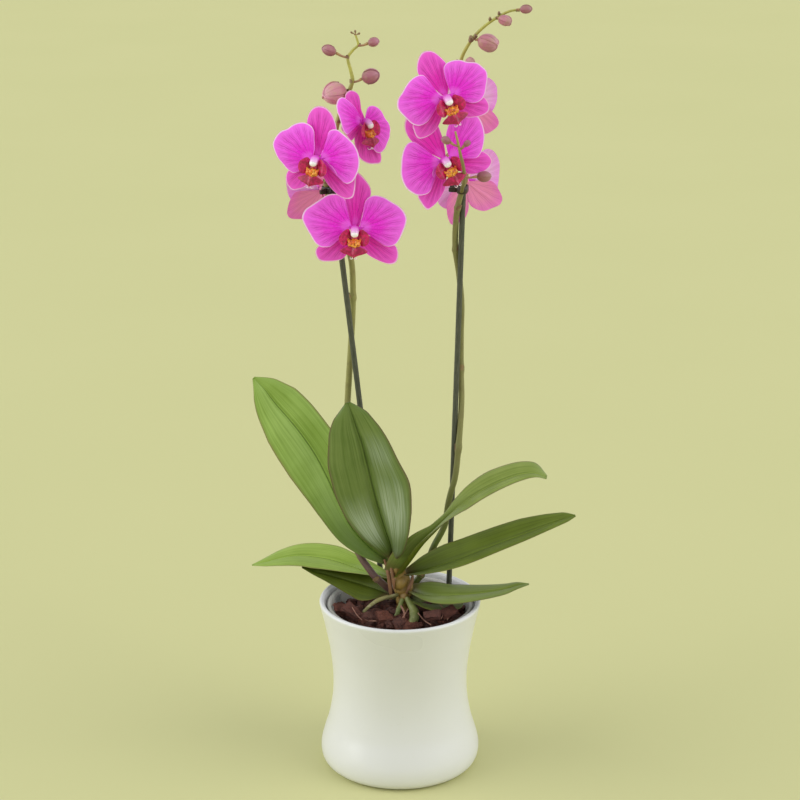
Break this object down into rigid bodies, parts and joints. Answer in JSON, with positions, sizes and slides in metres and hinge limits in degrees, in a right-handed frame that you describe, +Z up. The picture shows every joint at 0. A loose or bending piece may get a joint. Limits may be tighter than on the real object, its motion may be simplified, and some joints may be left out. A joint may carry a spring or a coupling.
{
  "type": "potted orchid",
  "caption": "Moth orchid with two staked flowering spikes, pink flowers and buds over broad strap leaves, in a waisted ceramic cover pot with bark.",
  "frame": {"origin": "centre of the cover pot's flat foot, on the surface it stands on", "axes": "+Z up along the pot's axis and the plant's height; the flowers face -Y; +X to the right of someone facing the flowers"},
  "size_m": [0.2816, 0.14, 0.665],
  "materials": {
    "glaze": "gloss",
    "clear_plastic": "gloss",
    "bark": "matte",
    "stem": "satin",
    "leaf": "satin",
    "leaf_dark": "satin",
    "root": "matte",
    "spike": "satin",
    "stake": "satin",
    "clip": "satin",
    "petal": "satin",
    "sepal": "satin",
    "lip": "satin",
    "bud": "matte"
  },
  "bodies": {
    "root": {"cover_pot": "glaze", "grow_pot": "clear_plastic", "stem": "stem", "stake_left": "stake", "stake_right": "stake", "flower_spike_left": "spike", "flower_spike_right": "spike", "clip_left": "clip", "clip_right": "clip", "leaf_2_centre": "leaf_dark", "leaf_1_left_upper": "leaf", "leaf_3_right_upper": "leaf", "leaf_4_right_middle": "leaf", "leaf_5_right_lower": "leaf", "leaf_7_left_lower": "leaf", "leaf_6_left_back": "leaf", "leaf_8_right_inner": "leaf", "root_1_left": "root", "root_2_front": "root", "root_3_front_right": "root", "root_4_right": "root", "root_5_back": "root", "bud_left_1": "bud", "bud_left_2": "bud", "bud_left_3": "bud", "bud_left_4": "bud", "bud_right_1": "bud", "bud_right_2": "bud", "bud_right_3": "bud", "bud_right_4": "bud", "bud_branch_1": "bud", "bud_branch_2": "bud", "bud_branch_3": "bud", "flower_right_1_lip": "lip", "flower_right_1_petals": "petal", "flower_right_1_sepals": "sepal", "flower_left_2_lip": "lip", "flower_left_2_petals": "petal", "flower_left_2_sepals": "sepal", "flower_left_1_lip": "lip", "flower_left_1_petals": "petal", "flower_left_1_sepals": "sepal", "flower_right_2_lip": "lip", "flower_right_2_petals": "petal", "flower_right_2_sepals": "sepal", "flower_left_3_lip": "lip", "flower_left_3_petals": "petal", "flower_left_3_sepals": "sepal", "flower_left_4_lip": "lip", "flower_left_4_petals": "petal", "flower_left_4_sepals": "sepal", "flower_right_3_lip": "lip", "flower_right_3_petals": "petal", "flower_right_3_sepals": "sepal", "flower_right_4_lip": "lip", "flower_right_4_petals": "petal", "flower_right_4_sepals": "sepal", "bark_mix": "bark"}
  },
  "joints": []
}
